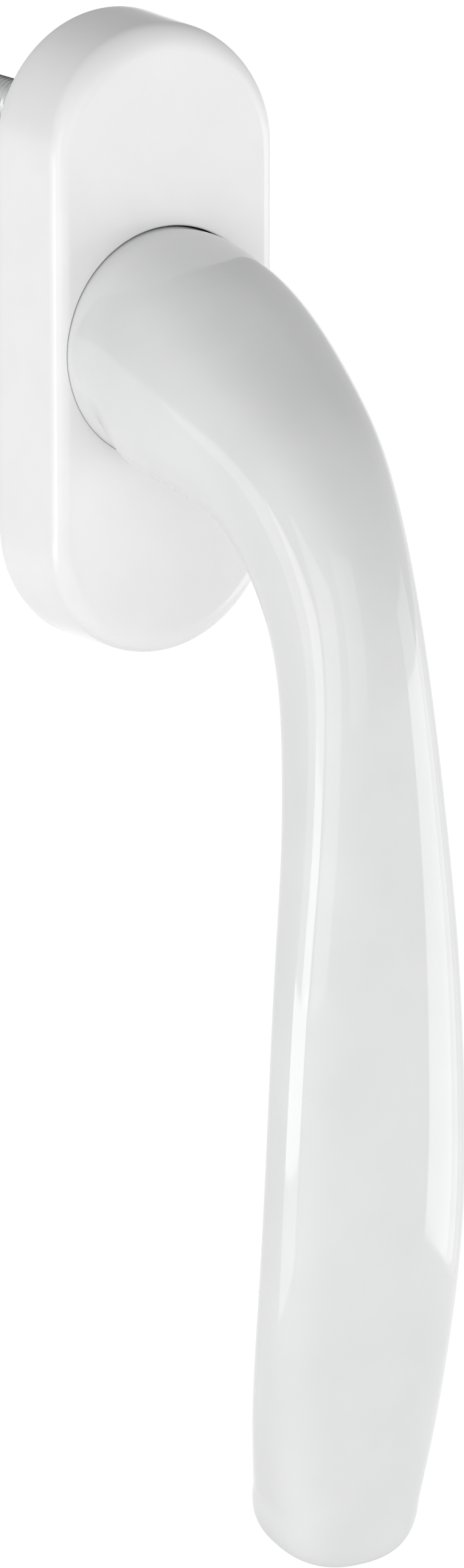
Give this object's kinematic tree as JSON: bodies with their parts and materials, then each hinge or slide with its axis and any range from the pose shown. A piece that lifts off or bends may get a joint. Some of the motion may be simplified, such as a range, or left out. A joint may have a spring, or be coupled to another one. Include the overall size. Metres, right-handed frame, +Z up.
{
  "type": "tilt turn window handle",
  "caption": "White tilt and turn window handle with an oblong rosette, a bowed grip, a square spindle and a four-stop detent.",
  "frame": {"origin": "on the turning axis, in the plane of the sash face that the rosette sits on", "axes": "+Z up along the rosette and away from the hanging grip, +Y into the sash along the spindle, so the grip stands out towards -Y; X is across, and the handle is symmetric about X = 0 at rest"},
  "size_m": [0.0286, 0.0947, 0.1632],
  "materials": {
    "white_coat": "gloss white powder coat on an aluminium casting",
    "white_cap": "satin white powder coat with a fine texture",
    "zinc_cast": "raw zinc die casting, matt",
    "zinc_plate": "bright zinc plated steel",
    "spring_steel": "blued spring steel",
    "turned_steel": "fine turned steel",
    "acetal_white": "natural acetal",
    "acetal_black": "black acetal"
  },
  "bodies": {
    "base": {"base_plate": "zinc_cast", "neck_bush": "acetal_white", "thrust_washer": "acetal_white", "wave_washer": "spring_steel", "shim_washer": "zinc_plate", "spring_carrier": "acetal_black", "detent_spring_left": "spring_steel", "detent_spring_right": "spring_steel", "keeper_plate": "zinc_plate", "keeper_rivets": "zinc_plate", "fixing_screws": "zinc_plate"},
    "cover": {"cover_cap": "white_cap", "cap_clip_upper": "acetal_white", "cap_clip_lower": "acetal_white"},
    "handle": {"handle_grip": "white_coat", "neck_insert": "turned_steel", "detent_cam": "turned_steel", "circlip": "spring_steel", "spindle": "zinc_plate", "spindle_pin": "spring_steel"}
  },
  "joints": [
    {"name": "handle_turn", "type": "hinge", "parent": "base", "child": "handle", "pos_m": [0, 0, 0], "axis": [0, -1, 0], "range_deg": [0, 180], "deforming": ["detent_spring_left", "detent_spring_right"]},
    {"name": "cover_lift", "type": "slide", "parent": "base", "child": "cover", "axis": [0, -1, 0], "range_m": [0, 0.003]}
  ]
}
